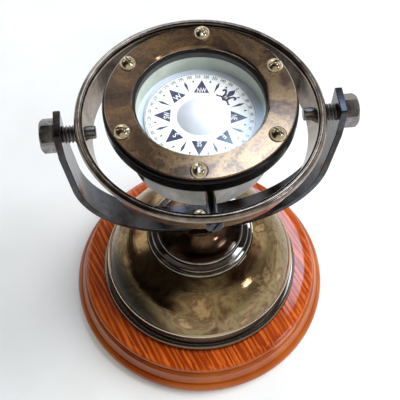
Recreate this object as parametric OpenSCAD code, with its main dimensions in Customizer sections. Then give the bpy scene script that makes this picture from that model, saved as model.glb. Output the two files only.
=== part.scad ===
// Gimbal compass on a turned wooden base.
// Sizes are in millimetres. X runs along the outer pivots, Y along the inner pivots and Z is up.
// The origin is at the middle of the underside, where the felt meets the table.

/* [Wooden base] */
// Diameter over the lower bead of the base
base_d = 150; // [140:1:180]
// Height of the turned wood
base_h = 18.5; // [17:0.5:24]
// Radius of the half-round lower bead
base_bead_r = 3; // [2.5:0.25:3.5]
// Diameter of the upper disc of the base
base_top_d = 137.2; // [134:0.2:140]
// Radius of the upper disc's rounded edge
base_edge_r = 1.6; // [1.2:0.1:2]
// Radius of the eased margin inside that edge
base_ease_r = 20; // [6:1:24]
// How far the cove between the two discs runs in, from its foot to its top
base_cove_in = 2.1; // [1:0.1:3]
// Thickness of the felt under the wood
felt_t = 1.5; // [1:0.25:3]
// Diameter of the felt
felt_d = 132; // [110:1:138]

/* [Brass foot] */
// Diameter of the foot ring that stands on the wood
foot_d = 114; // [110:1:120]
// Height of the moulded wall below the dome
foot_wall_h = 14; // [12:0.2:18]
// Diameter of the dome where it springs from the bead
dome_d = 105.8; // [102:0.2:108]
// Height of the dome from the bead to its shoulder
dome_h = 21; // [19:0.5:24]
// Radius of the dome's curve seen from the side
dome_curve_r = 32.4; // [28:0.2:60]
// Diameter of the dome's flat shoulder
shoulder_d = 70; // [66:1:76]
// Height that the shoulder climbs to the collar
shoulder_rise = 2.4; // [1:0.1:4]
// Wall of the spun brass
shell_t = 1.8; // [1.2:0.1:3]
// Diameter of the collar's lowest ring
collar_d = 58.6; // [54:0.2:62]
// Height of the stepped collar
collar_h = 6.6; // [5:0.1:9]
// Diameter of the collar's top ring
collar_top_d = 48; // [46:0.5:50]
// Height of the flared neck
neck_h = 7.3; // [6.5:0.1:12]
// Diameter of the neck under the yoke
neck_top_d = 21; // [18:0.5:26]

/* [Yoke] */
// Space between the arms at the outer pivots
yoke_gap = 122.8; // [120:0.2:130]
// Width of the strip
yoke_w = 15; // [12:0.5:20]
// Thickness of the strip
yoke_t = 3.2; // [2.5:0.1:4]
// Depth from the outer pivots to the underside of the yoke
yoke_drop = 86.2; // [80:0.2:100]
// Outside radius of the yoke's two bends
yoke_bend_r = 56; // [50:1:60]
// Lean of the arms below their upright ends, in degrees
yoke_lean = 5; // [2:0.5:7]
// Depth of the arms' upright ends below the outer pivots
yoke_seat = 9; // [8:0.5:14]
// Length of the arms above the outer pivots
yoke_tip = 8.5; // [8:0.1:12]

/* [Outer pivot bolts] */
// Diameter of the bolt's thread
bolt_d = 8; // [7:0.5:9]
// Width across the flats of the hexagon head
bolt_af = 13.5; // [12:0.5:14.5]
// Height of the hexagon head
bolt_head_h = 6.5; // [5:0.25:8]
// Diameter of the plain end that carries the ring
journal_d = 5.8; // [4.5:0.1:6.4]
// How far the plain end stands out inside the ring
journal_out = 4; // [2:0.25:4.6]

/* [Gimbal ring] */
// Outside diameter over the rim
ring_d = 111.2; // [110.6:0.2:115]
// Height of the ring
ring_h = 15.8; // [14.6:0.2:18]
// Diameter of the rolled rim's round section
rim_t = 4; // [3.4:0.1:4.4]
// How much smaller the ring is at its lower edge, on the radius
ring_taper = 4.7; // [3.5:0.1:5]
// Thickness of the ring's wall
ring_t = 2; // [1.6:0.1:2.2]
// Height of the pivots above the ring's lower edge
ring_axis_h = 6.5; // [5.5:0.25:7.5]

/* [Inner pivot screws] */
// Diameter of the slotted head
screw_head_d = 7.4; // [6:0.1:8]
// Height of the slotted head
screw_head_h = 1.8; // [1.4:0.1:3]
// Diameter of the screw's shank
shank_d = 4.4; // [3.8:0.1:5]
// Diameter of the fine tip that carries the bowl
tip_d = 2.4; // [1.8:0.1:2.8]
// Length of the fine tip
tip_len = 4; // [3:0.25:6]
// Diameter of the trunnions on the bowl
trunnion_d = 4.6; // [4:0.1:6]
// Distance from the bowl's axis to a trunnion's end
trunnion_reach = 41.7; // [39:0.1:43]

/* [Bowl] */
// Outside diameter of the bowl
bowl_d = 66.4; // [65:0.2:69]
// Height from the bowl's underside to the pivots
bowl_drop = 18.3; // [18:0.1:24]
// Height from the pivots to the bowl's rim
bowl_rise = 10.7; // [10:0.1:12]
// Wall of the bowl
bowl_t = 2.5; // [2:0.1:3]
// Thickness of the bowl's floor
bowl_floor_t = 3.5; // [2.5:0.1:5]
// Radius of the bowl's lower edge
bowl_edge_r = 2.5; // [1:0.1:3]
// How far the black flange stands out past the bezel
flange_lip = 1.1; // [0.4:0.1:2]
// Height of the black flange
flange_h = 7.4; // [6.4:0.1:8.4]
// Metal between the glass's seat in the flange and the screws
seat_wall = 1.3; // [1:0.1:1.6]
// Diameter of the hole in the bezel
window_d = 58.6; // [54:0.2:60]
// Width of the bezel outside its screw circle
bezel_rim = 4.1; // [4:0.1:6]
// Thickness of the bezel
bezel_t = 1.4; // [1.2:0.1:2.4]
// Thickness of the glass
glass_t = 2.6; // [2:0.1:3]
// Thickness of the gasket under the glass
gasket_t = 3; // [2:0.1:3.2]
// Width of the gasket's ring
gasket_w = 6; // [5.4:0.1:7]
// Height of the ballast
ballast_h = 11; // [8:0.25:11.5]
// How far the liner stands in from the bowl's wall, to meet the gasket
gasket_in = 2.4; // [1.5:0.1:3]

/* [Bezel screws] */
// Number of screws in the bezel
bezel_screws_n = 6; // [4:1:8]
// Diameter of the circle that the screws stand on
bezel_screws_pcd = 74.6; // [73:0.2:78]
// Turn of the screw circle from the outer pivots
bezel_clock = 22.9; // [0:0.1:60]
// Diameter of the round heads
bezel_head_d = 7.8; // [6:0.1:8]
// Height of the round heads
bezel_head_h = 3; // [1.6:0.1:3.4]
// Diameter of the screws' shanks
bezel_shank_d = 3.4; // [2.5:0.1:4]
// Length of the shanks below the bezel's top
bezel_shank_len = 6.4; // [4:0.1:6.8]

/* [Card] */
// Diameter of the compass card
card_d = 49.8; // [44:0.2:52]
// Thickness of the compass card
card_t = 0.8; // [0.5:0.1:1.2]
// Depth from the glass's underside to the card's top
card_depth = 10; // [8.8:0.1:10.8]
// Turn of the card's north point from the outer pivots
card_north = 37; // [0:1:360]
// Diameter of the float
float_d = 21; // [18:0.5:24]
// Height of the float's dome above the card
float_rise = 5; // [3:0.25:5.5]
// Depth of the float below the card
float_drop = 5; // [4:0.25:5.5]
// Side of the bar magnets' square section
magnet_w = 2; // [1.5:0.1:2.5]
// Thickness of the plate under the card
well_t = 2; // [1.5:0.1:2.5]
// Gap between the card and the plate under it
card_gap = 0.7; // [0.4:0.1:1.2]
// Diameter of the post that carries the needle
post_d = 6; // [4:0.25:8]
// Diameter of the steel needle
needle_d = 1.6; // [1.2:0.1:2]

/* [Fixings] */
// Diameter of the bolt that holds the foot to the wood
base_bolt_d = 8; // [6:0.5:9]
// Width across the flats of that bolt's head
base_bolt_af = 13; // [10:0.5:14]
// Height of that bolt's head
base_bolt_head_h = 5.3; // [4:0.1:6]
// Thickness of its washer
washer_t = 1.6; // [1:0.1:2]
// Diameter of its washer
washer_d = 18; // [16.5:0.5:20]
// Diameter of the yoke screw's round head
yoke_screw_d = 8; // [6:0.25:10]
// Height of the yoke screw's round head
yoke_screw_h = 3; // [2:0.1:4]
// Diameter of the yoke screw's shank
yoke_shank_d = 4; // [3:0.25:5]
// Length of the yoke screw's thread in the neck
yoke_screw_len = 4; // [3:0.25:4.5]

/* [Clearances] */
// Running clearance on the radius of each journal
run_c = 0.06; // [0.02:0.01:0.1]
// Clearance on the radius of each screw in its plain hole
hole_c = 0.3; // [0.1:0.05:0.5]
// Gap between a shoulder and the face that turns beside it
face_c = 0.3; // [0.2:0.05:0.5]
// Gap between the needle's point and the jewel
needle_c = 0.15; // [0.1:0.05:0.3]
// Gap round the glass in its seat
glass_c = 0.3; // [0.1:0.05:0.5]
// Room round the washer and below the bolt's head in the wood
washer_c = 1; // [0.5:0.25:2]
// Room round the float in its plate
float_c = 1.2; // [0.8:0.1:2]
// Room between the float's sleeve and the needle, on the radius
sleeve_c = 1.2; // [0.8:0.1:1.6]

/* [Hidden] */
$fn = 96;
eps = 0.01;
arc_n = 10;
// Width of all the slots, and their depths in the yoke's screw and the bezel's
slot_w = 1.1;
yoke_slot = 1.2;
bezel_slot = 1.1;

brass_old = "#6e5a3f";
brass_dark = "#4a4038";
brass_bright = "#c9ad74";
steel_dark = "#4a4a50";
steel_blue = "#6a7484";

// Heights of the stand, counted from the table
base_top = felt_t + base_h;
dome_z = base_top + foot_wall_h;
base_r = base_d / 2;
base_top_r = base_top_d / 2;
dome_r = dome_d / 2;
shoulder_r = shoulder_d / 2;
shoulder_z = dome_z + dome_h;
// Centre of the dome's curve, which runs from the bead to the shoulder
dome_run = dome_r - shoulder_r;
dome_chord = sqrt(pow(dome_run, 2) + pow(dome_h, 2));
dome_sag = sqrt(pow(dome_curve_r, 2) - pow(dome_chord / 2, 2));
dome_cx = shoulder_r + dome_run / 2 - dome_sag * dome_h / dome_chord;
dome_cz = dome_z + dome_h / 2 - dome_sag * dome_run / dome_chord;
collar_z = shoulder_z + shoulder_rise;
neck_z = collar_z + collar_h;
yoke_z = neck_z + neck_h;
pivot_z = yoke_z + yoke_drop;

// Fixings of the stand
counterbore_d = washer_d + 2 * washer_c;
counterbore_h = base_bolt_head_h + washer_t + washer_c;
bolt_seat_z = felt_t + counterbore_h;
// The bolt from below and the yoke's screw from above leave this much of the neck between them
neck_web = 1.5;
base_bolt_tip = yoke_z - yoke_screw_len - neck_web;

// Ring, counted from the pivots
ring_r = ring_d / 2;
rim_r = rim_t / 2;
ring_low = -ring_axis_h;
ring_top = ring_h - ring_axis_h;
rim_z = ring_top - rim_r;
wall_top_r = ring_r - rim_r + ring_t / 2;
wall_low_r = ring_r - ring_taper;
wall_slope = (wall_top_r - wall_low_r) / (rim_z - ring_low);
seat_depth = 0.3;
function wall_r(z) = wall_low_r + (z - ring_low) * wall_slope;
screw_seat = wall_r(0) - seat_depth;
bolt_shoulder = wall_r(bolt_d / 2) + face_c;

// Bowl, counted from the pivots
bowl_r = bowl_d / 2;
bowl_in_r = bowl_r - bowl_t;
ledge = 1;
floor_z = -bowl_drop + bowl_floor_t;
glass_z = bowl_rise + gasket_t;
bezel_z = glass_z + glass_t;
flange_z = bezel_z - flange_h;
// The glass's seat, the bezel and the flange are all set out from the screw circle
screw_circle_r = bezel_screws_pcd / 2;
seat_r = screw_circle_r - bezel_shank_d / 2 - seat_wall;
glass_r = seat_r - glass_c;
bezel_r = screw_circle_r + bezel_rim;
flange_r = bezel_r + flange_lip;
liner_r = bowl_in_r - gasket_in;
card_z = glass_z - card_depth - card_t;
well_z = card_z - card_gap - well_t;
float_r = float_d / 2;
well_hole_r = float_r + float_c;
float_floor_z = card_z - float_drop;
float_wall = 0.8;
// The float's dome overlaps the card by this much all round
float_lap = 1.5;
cup_r = float_r - float_lap;
cup_edge = 0.8;
sleeve_in_r = needle_d / 2 + sleeve_c;
sleeve_out_r = sleeve_in_r + float_wall;
jewel_h = 2.6;
jewel_depth = 1.5;
// Height of the needle's bearing above the card's underside
jewel_rise = 1;
jewel_z = card_z + jewel_rise;
jewel_seat = jewel_z - jewel_depth - float_floor_z;
needle_tip_z = jewel_z - needle_c;
// The post stops below the float, and the needle stands in a hole in its top
post_room = 1.5;
needle_seat = 2;
needle_base_z = float_floor_z - post_room;
plug_hole_d = 4;

// Points along an arc about (cx, cy), from angle a0 to angle a1
function arc(cx, cy, r, a0, a1, n = arc_n) =
    [for (i = [0:n]) let (a = a0 + (a1 - a0) * i / n) [cx + r * cos(a), cy + r * sin(a)]];

// A solid turned about Z from its outline
module turned(outline) {
    rotate_extrude(convexity = 6) polygon(outline);
}

// A round-headed screw head with its slot, standing on z = 0
module round_head(d, h, slot_w, slot_d) {
    sphere_r = (pow(d / 2, 2) + pow(h, 2)) / (2 * h);
    edge = asin((d / 2) / sphere_r);
    difference() {
        turned(concat([[0, 0]], arc(0, h - sphere_r, sphere_r, 90 - edge, 90, 8)));
        translate([-d, -slot_w / 2, h - slot_d]) cube([2 * d, slot_w, slot_d + eps]);
    }
}

module felt_pad() {
    color("#27402f") cylinder(d = felt_d, h = felt_t);
}

module wooden_base() {
    bead_x = base_r - base_bead_r;
    bead_z = felt_t + base_bead_r;
    // A groove parts the bead from the cove, and a fillet parts the cove from the disc
    bead_end = 75;
    groove_in = 0.5;
    groove_h = 1.5;
    fillet_h = 2.4;
    fillet_out = 0.4;
    edge_x = base_top_r - base_edge_r;
    // The flat top turns down through the eased margin by this many degrees before the edge proper
    ease_turn = 15;
    edge_z = base_top - base_ease_r * (1 - cos(ease_turn)) - base_edge_r * cos(ease_turn);
    edge_start = -68;
    ease_x = edge_x - (base_ease_r - base_edge_r) * sin(ease_turn);
    disc_low = edge_z + base_edge_r * sin(edge_start);
    arris_z = bead_z + base_bead_r + groove_h;
    cove_z = disc_low - fillet_h;
    cove_r = (pow(cove_z - arris_z, 2) + pow(base_cove_in, 2)) / (2 * base_cove_in);
    cove_sweep = asin((cove_z - arris_z) / cove_r);
    cove_x = bead_x - base_cove_in + cove_r;
    fillet_r = base_top_r + fillet_out;
    hole_r = base_bolt_d / 2 + hole_c;
    color("#8e3a17") difference() {
        turned(concat(
            [[hole_r, base_top], [hole_r, felt_t]],
            arc(bead_x, bead_z, base_bead_r, -90, bead_end),
            [[bead_x - groove_in, bead_z + base_bead_r], [bead_x - groove_in, arris_z - groove_in]],
            arc(cove_x, cove_z, cove_r, 180 + cove_sweep, 180),
            [[fillet_r, cove_z + fillet_out], [fillet_r, disc_low - fillet_out]],
            arc(edge_x, edge_z, base_edge_r, edge_start, 90 - ease_turn),
            arc(ease_x, base_top - base_ease_r, base_ease_r, 90 - ease_turn, 90)
        ));
        translate([0, 0, felt_t - eps]) cylinder(d = counterbore_d, h = counterbore_h + eps);
    }
}

module base_washer() {
    color("silver") translate([0, 0, bolt_seat_z - washer_t]) difference() {
        cylinder(d = washer_d, h = washer_t);
        translate([0, 0, -1]) cylinder(d = base_bolt_d + 2 * hole_c, h = washer_t + 2);
    }
}

module base_bolt() {
    head_z = bolt_seat_z - washer_t - base_bolt_head_h;
    color("silver") {
        translate([0, 0, head_z]) cylinder(d = base_bolt_af / cos(30), h = base_bolt_head_h, $fn = 6);
        translate([0, 0, head_z + base_bolt_head_h - eps])
            cylinder(d = base_bolt_d, h = base_bolt_tip - head_z - base_bolt_head_h + eps);
    }
}

module dome_foot() {
    foot_r = foot_d / 2;
    hole_r = base_bolt_d / 2 + hole_c;
    // Mouldings between the foot ring and the dome, from the wood up
    foot_ring_h = 4.6;
    foot_round = 1.6;
    foot_edge = 0.6;
    foot_land = 6;
    band_out = 1.5;
    band_low = 2.2;
    band_fillet = 0.5;
    band_top = 2.2;
    quirk = 0.2;
    bead_r = 0.9;
    bead_drop = 1.1;
    ring_top_z = base_top + foot_ring_h;
    band_r = dome_r + band_out;
    band_z = ring_top_z + band_low;
    bead_z = dome_z - bead_drop;
    shoulder_edge = 0.6;
    inner_curve = dome_curve_r - shell_t;
    low_angle = asin((dome_z - dome_cz) / dome_curve_r);
    top_angle = asin((shoulder_z - dome_cz) / dome_curve_r);
    color(brass_old) turned(concat(
        [[foot_r - foot_land, base_top], [foot_r - foot_edge, base_top], [foot_r, base_top + foot_edge]],
        arc(foot_r - foot_round, ring_top_z - foot_round, foot_round, 0, 90, 6),
        [[band_r - band_fillet, ring_top_z], [band_r - band_fillet, band_z - band_fillet], [band_r, band_z]],
        [[band_r, bead_z - band_top], [dome_r + quirk, bead_z - band_top + 3 * quirk]],
        [[dome_r + quirk, bead_z - bead_r]],
        arc(dome_r + quirk, bead_z, bead_r, -75, 75, 6),
        arc(dome_cx, dome_cz, dome_curve_r, low_angle, top_angle, 18),
        [[collar_d / 2 + shoulder_edge, collar_z], [hole_r, collar_z], [hole_r, collar_z - shell_t]],
        [[collar_d / 2 + quirk, collar_z - shell_t]],
        arc(dome_cx, dome_cz, inner_curve, top_angle, low_angle, 12),
        [[dome_r - shell_t, ring_top_z - foot_edge], [foot_r - foot_land, base_top + shell_t]]
    ));
}

module dome_collar() {
    hole_r = base_bolt_d / 2 + hole_c;
    low_r = collar_d / 2;
    top_r = collar_top_d / 2;
    mid_r = (low_r + top_r) / 2;
    step = collar_h / 3;
    base_in = 0.7;
    quirk = 0.4;
    color(brass_bright) translate([0, 0, collar_z]) turned(concat(
        [[hole_r, 0], [low_r - base_in, 0]],
        arc(low_r - step / 2, step / 2, step / 2, -60, 90, 6),
        [[mid_r + quirk, step], [mid_r + quirk, step + quirk], [mid_r, step + 2 * quirk], [mid_r, 2 * step]],
        [[top_r - step / 2, 2 * step]],
        arc(top_r - step / 2, 2.5 * step, step / 2, -60, 90, 6),
        [[hole_r, collar_h]]
    ));
}

module pedestal_neck() {
    foot_in = 1.6;
    foot_h = 0.6;
    foot_r = collar_top_d / 2 - foot_in;
    top_r = neck_top_d / 2;
    lip = 1;
    flare_h = neck_h - lip - foot_h;
    run = foot_r - top_r;
    // Radius of the flare, level at its foot, that rises flare_h over the run
    flare_r = (pow(run, 2) + pow(flare_h, 2)) / (2 * flare_h);
    sweep = asin(run / flare_r);
    color(brass_dark) translate([0, 0, neck_z]) difference() {
        turned(concat(
            [[0, 0], [foot_r, 0]],
            arc(foot_r, flare_r + foot_h, flare_r, 270, 270 - sweep, 12),
            [[top_r, neck_h], [0, neck_h]]
        ));
        translate([0, 0, -eps]) cylinder(d = base_bolt_d, h = base_bolt_tip - neck_z + eps);
        translate([0, 0, neck_h - yoke_screw_len]) cylinder(d = yoke_shank_d, h = yoke_screw_len + eps);
    }
}

module yoke() {
    out_x = yoke_gap / 2 + yoke_t;
    in_bend_r = yoke_bend_r - yoke_t;
    arm_top = pivot_z + yoke_tip;
    // The arms lean out up to the knee and stand upright above it, where the bolts pass
    knee_z = pivot_z - yoke_seat;
    knee_in_z = knee_z + yoke_t * tan(yoke_lean / 2);
    bend_z = yoke_z + yoke_bend_r;
    bend_end_z = bend_z - yoke_bend_r * sin(yoke_lean);
    bend_x = out_x - yoke_bend_r * cos(yoke_lean) - (knee_z - bend_end_z) * tan(yoke_lean);
    bend_n = 40;
    half = concat(
        arc(bend_x, bend_z, yoke_bend_r, -90, -yoke_lean, bend_n),
        [[out_x, knee_z], [out_x, arm_top], [out_x - yoke_t, arm_top], [out_x - yoke_t, knee_in_z]],
        arc(bend_x, bend_z, in_bend_r, -yoke_lean, -90, bend_n)
    );
    other_half = [for (i = [len(half) - 1:-1:0]) [-half[i][0], half[i][1]]];
    color("#5b5a5c") difference() {
        translate([0, yoke_w / 2, 0]) rotate([90, 0, 0])
            linear_extrude(yoke_w) polygon(concat(half, other_half));
        translate([-out_x - 1, 0, pivot_z]) rotate([0, 90, 0]) cylinder(d = bolt_d, h = 2 * out_x + 2);
        translate([0, 0, yoke_z - 1]) cylinder(d = yoke_shank_d + 2 * hole_c, h = yoke_t + 2);
    }
}

module yoke_screw() {
    slot_turn = 30;
    color(brass_bright) translate([0, 0, yoke_z + yoke_t]) {
        rotate([0, 0, slot_turn]) round_head(yoke_screw_d, yoke_screw_h, slot_w, yoke_slot);
        translate([0, 0, -yoke_t - yoke_screw_len])
            cylinder(d = yoke_shank_d, h = yoke_t + yoke_screw_len + eps);
    }
}

// An outer pivot bolt for the +X side
module pivot_bolt() {
    out_x = yoke_gap / 2 + yoke_t;
    corner_d = bolt_af / cos(30);
    tip_x = wall_r(0) - ring_t - journal_out;
    // The chamfer runs this far back from the head's end, and leaves a round face inside the flats
    chamfer_back = 2.2;
    chamfer_out = 1;
    face_in = 0.3;
    color(steel_dark) translate([0, 0, pivot_z]) rotate([0, 90, 0]) {
        translate([0, 0, out_x]) intersection() {
            cylinder(d = corner_d, h = bolt_head_h, $fn = 6);
            turned([
                [0, 0], [corner_d / 2 + chamfer_out, 0], [corner_d / 2 + chamfer_out, bolt_head_h - chamfer_back],
                [bolt_af / 2 - face_in, bolt_head_h], [0, bolt_head_h]
            ]);
        }
        translate([0, 0, bolt_shoulder]) cylinder(d = bolt_d, h = out_x - bolt_shoulder + eps);
        translate([0, 0, tip_x]) cylinder(d = journal_d, h = bolt_shoulder - tip_x + eps);
    }
}

module pivot_bolt_left() {
    rotate([0, 0, 180]) pivot_bolt();
}

module pivot_bolt_right() {
    pivot_bolt();
}

module gimbal_ring() {
    edge = 0.4;
    seat_d = screw_head_d + 2 * hole_c;
    color("#5a4f45") translate([0, 0, pivot_z]) difference() {
        union() {
            turned([
                [wall_low_r - ring_t + edge, ring_low], [wall_low_r - edge, ring_low],
                [wall_low_r, ring_low + edge], [wall_top_r, rim_z], [wall_top_r - ring_t, rim_z],
                [wall_low_r - ring_t, ring_low + edge]
            ]);
            rotate_extrude() translate([ring_r - rim_r, rim_z]) circle(r = rim_r, $fn = 40);
        }
        // Bores for the outer pivots
        rotate([0, 90, 0]) translate([0, 0, -ring_r - 1])
            cylinder(d = journal_d + 2 * run_c, h = 2 * ring_r + 2);
        // Threaded holes and flat seats for the inner pivot screws
        rotate([90, 0, 0]) translate([0, 0, -ring_r - 1]) cylinder(d = shank_d, h = 2 * ring_r + 2);
        for (side = [0, 180]) rotate([90, 0, side]) translate([0, 0, screw_seat])
            cylinder(d = seat_d, h = ring_r);
    }
}

// An inner pivot screw for the front, the -Y side
module inner_pivot() {
    tip_end = trunnion_reach - tip_len;
    shoulder = trunnion_reach + face_c;
    slot_depth = 1;
    slot_turn = -25;
    edge = 0.4;
    color(steel_blue) translate([0, 0, pivot_z]) rotate([90, 0, 0]) {
        translate([0, 0, screw_seat]) rotate([0, 0, slot_turn]) difference() {
            turned([[0, 0], [screw_head_d / 2, 0], [screw_head_d / 2, screw_head_h - edge],
                    [screw_head_d / 2 - edge, screw_head_h], [0, screw_head_h]]);
            translate([-slot_w / 2, -screw_head_d, screw_head_h - slot_depth])
                cube([slot_w, 2 * screw_head_d, slot_depth + eps]);
        }
        translate([0, 0, shoulder]) cylinder(d = shank_d, h = screw_seat - shoulder + eps);
        translate([0, 0, tip_end]) cylinder(d = tip_d, h = shoulder - tip_end + eps);
    }
}

module inner_pivot_front() {
    inner_pivot();
}

module inner_pivot_rear() {
    rotate([0, 0, 180]) inner_pivot();
}

// A trunnion for the front, the -Y side: a plug in the bowl's wall with a blind bore in its end
module trunnion() {
    // The bore is deeper than the tip, so that the shoulders meet first
    bore_len = tip_len + 2 * face_c;
    color(brass_bright) translate([0, 0, pivot_z]) rotate([90, 0, 0]) difference() {
        translate([0, 0, bowl_in_r]) cylinder(d = trunnion_d, h = trunnion_reach - bowl_in_r);
        translate([0, 0, trunnion_reach - bore_len]) cylinder(d = tip_d + 2 * run_c, h = bore_len + 1);
    }
}

module trunnion_front() {
    trunnion();
}

module trunnion_rear() {
    rotate([0, 0, 180]) trunnion();
}

module bowl() {
    ledge_r = bowl_in_r - ledge;
    color("#8c8a86") translate([0, 0, pivot_z]) difference() {
        turned(concat(
            [[0, -bowl_drop]],
            arc(bowl_r - bowl_edge_r, -bowl_drop + bowl_edge_r, bowl_edge_r, -90, 0, 8),
            [[bowl_r, bowl_rise], [bowl_in_r, bowl_rise], [bowl_in_r, well_z],
             [ledge_r, well_z], [ledge_r, floor_z], [0, floor_z]]
        ));
        rotate([90, 0, 0]) translate([0, 0, -bowl_r - 1]) cylinder(d = trunnion_d, h = 2 * bowl_r + 2);
        translate([0, 0, -bowl_drop - 1]) cylinder(d = plug_hole_d, h = bowl_floor_t + 2);
    }
}

module bowl_flange() {
    edge = 1.4;
    color("#17171c") translate([0, 0, pivot_z]) difference() {
        turned(concat(
            [[0, flange_z]],
            arc(flange_r - edge, flange_z + edge, edge, -90, 0, 6),
            arc(flange_r - edge, bezel_z - edge, edge, 0, 90, 6),
            [[0, bezel_z]]
        ));
        translate([0, 0, flange_z - 1]) cylinder(r = bowl_r, h = bowl_rise - flange_z + 1);
        translate([0, 0, bowl_rise - eps]) cylinder(r = seat_r, h = bezel_z - bowl_rise + 1);
        bezel_screw_places() translate([0, 0, bezel_z + bezel_t - bezel_shank_len])
            cylinder(d = bezel_shank_d, h = bezel_shank_len);
    }
}

module ballast() {
    color("#77787c") translate([0, 0, pivot_z + floor_z]) difference() {
        cylinder(r = bowl_in_r - ledge, h = ballast_h);
        translate([0, 0, -1]) cylinder(d = post_d, h = ballast_h + 2);
    }
}

module filler_plug() {
    plug_head_d = 9;
    plug_head_h = 1.5;
    plug_slot = 0.8;
    color(brass_bright) translate([0, 0, pivot_z - bowl_drop]) difference() {
        union() {
            translate([0, 0, -plug_head_h]) cylinder(d = plug_head_d, h = plug_head_h);
            translate([0, 0, -eps]) cylinder(d = plug_hole_d, h = bowl_floor_t + eps);
        }
        translate([-plug_head_d, -slot_w / 2, -plug_head_h - 1])
            cube([2 * plug_head_d, slot_w, plug_slot + 1]);
    }
}

module well_plate() {
    color("#b9cfe0") translate([0, 0, pivot_z + well_z]) difference() {
        cylinder(r = bowl_in_r, h = well_t);
        translate([0, 0, -1]) cylinder(r = well_hole_r, h = well_t + 2);
    }
}

module bowl_liner() {
    color("#8f988c") translate([0, 0, pivot_z + well_z + well_t]) difference() {
        cylinder(r = bowl_in_r, h = bowl_rise - well_z - well_t);
        translate([0, 0, -1]) cylinder(r = liner_r, h = bowl_rise);
    }
}

module gasket() {
    color("#1d1f22") translate([0, 0, pivot_z + bowl_rise]) difference() {
        cylinder(r = seat_r, h = gasket_t);
        translate([0, 0, -1]) cylinder(r = seat_r - gasket_w, h = gasket_t + 2);
    }
}

module glass() {
    color([0.85, 0.92, 0.92, 0.3]) translate([0, 0, pivot_z + glass_z]) cylinder(r = glass_r, h = glass_t);
}

module bezel_screw_places() {
    for (i = [0:bezel_screws_n - 1])
        rotate([0, 0, bezel_clock + i * 360 / bezel_screws_n]) translate([screw_circle_r, 0, 0]) children();
}

module bezel() {
    win_r = window_d / 2;
    chamfer = 0.4;
    inner_chamfer = 0.7;
    color(brass_old) translate([0, 0, pivot_z + bezel_z]) difference() {
        turned([
            [win_r, 0], [bezel_r, 0], [bezel_r, bezel_t - chamfer], [bezel_r - chamfer, bezel_t],
            [win_r + inner_chamfer, bezel_t], [win_r, bezel_t - inner_chamfer]
        ]);
        bezel_screw_places() translate([0, 0, -1]) cylinder(d = bezel_shank_d + 2 * hole_c, h = bezel_t + 2);
    }
}

module bezel_screws() {
    slot_turn = 40;
    color(brass_bright) translate([0, 0, pivot_z + bezel_z + bezel_t]) bezel_screw_places() {
        rotate([0, 0, slot_turn]) round_head(bezel_head_d, bezel_head_h, slot_w, bezel_slot);
        translate([0, 0, -bezel_shank_len]) cylinder(d = bezel_shank_d, h = bezel_shank_len + eps);
    }
}

module needle_post() {
    top_z = needle_base_z;
    taper = 1.4;
    color(brass_bright) translate([0, 0, pivot_z]) difference() {
        turned([
            [0, floor_z], [post_d / 2, floor_z], [post_d / 2, top_z - needle_seat],
            [post_d / 2 - taper, top_z], [0, top_z]
        ]);
        translate([0, 0, top_z - needle_seat]) cylinder(d = needle_d, h = needle_seat + 1);
    }
}

module needle() {
    tip_h = 1.8;
    tip_r = 0.08;
    low_z = needle_base_z - needle_seat;
    color("silver") translate([0, 0, pivot_z]) turned([
        [0, low_z], [needle_d / 2, low_z], [needle_d / 2, needle_tip_z - tip_h],
        [tip_r, needle_tip_z], [0, needle_tip_z]
    ]);
}

module compass_card() {
    color("#eceff2") translate([0, 0, pivot_z + card_z]) difference() {
        cylinder(d = card_d, h = card_t);
        translate([0, 0, -1]) cylinder(r = cup_r, h = card_t + 2);
    }
}

module float_dome() {
    sphere_r = (pow(float_r, 2) + pow(float_rise, 2)) / (2 * float_rise);
    edge = asin(float_r / sphere_r);
    inner = sphere_r - float_wall;
    rim = 1.2;
    inner_edge = asin((float_r - rim) / inner);
    color("#f2f4f5") translate([0, 0, pivot_z + card_z + card_t]) turned(concat(
        [[float_r - rim, 0]],
        arc(0, float_rise - sphere_r, sphere_r, 90 - edge, 90, 14),
        arc(0, float_rise - sphere_r, inner, 90, 90 - inner_edge, 12)
    ));
}

module float_cup() {
    top = float_drop + card_t;
    inner_r = cup_r - float_wall;
    color("#dfe3e6") translate([0, 0, pivot_z + float_floor_z]) turned([
        [sleeve_in_r, 0], [cup_r - cup_edge, 0], [cup_r, cup_edge], [cup_r, top], [inner_r, top],
        [inner_r, float_wall + cup_edge / 2], [inner_r - cup_edge / 2, float_wall],
        [sleeve_out_r, float_wall], [sleeve_out_r, jewel_seat], [sleeve_in_r, jewel_seat]
    ]);
}

module magnets() {
    magnet_c = 0.15;
    near = sleeve_out_r + magnet_c;
    far = near + magnet_w;
    // Half the length that just clears the float's round wall
    room_r = cup_r - float_wall - cup_edge / 2 - magnet_c;
    half_len = sqrt(pow(room_r, 2) - pow(far, 2));
    color("#55585c") translate([0, 0, pivot_z + float_floor_z + float_wall])
        rotate([0, 0, card_north]) for (side = [0, 1]) mirror([0, side, 0])
            translate([-half_len, near, 0]) cube([2 * half_len, magnet_w, magnet_w]);
}

module jewel_cup() {
    // A round-bottomed pit, so that the needle finds its middle
    pit_r = 0.3;
    pit_rise = 0.1;
    color("#a8323a") translate([0, 0, pivot_z + float_floor_z + jewel_seat]) turned([
        [sleeve_in_r, 0], [sleeve_out_r, 0], [sleeve_out_r, jewel_h], [0, jewel_h],
        [0, jewel_depth], [pit_r, jewel_depth - pit_rise]
    ]);
}

felt_pad();
wooden_base();
base_bolt();
base_washer();
dome_foot();
dome_collar();
pedestal_neck();
yoke();
yoke_screw();
pivot_bolt_left();
pivot_bolt_right();
gimbal_ring();
inner_pivot_front();
inner_pivot_rear();
bowl();
bowl_flange();
trunnion_front();
trunnion_rear();
ballast();
filler_plug();
well_plate();
bowl_liner();
gasket();
glass();
bezel();
bezel_screws();
needle_post();
needle();
compass_card();
float_dome();
float_cup();
magnets();
jewel_cup();
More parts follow.
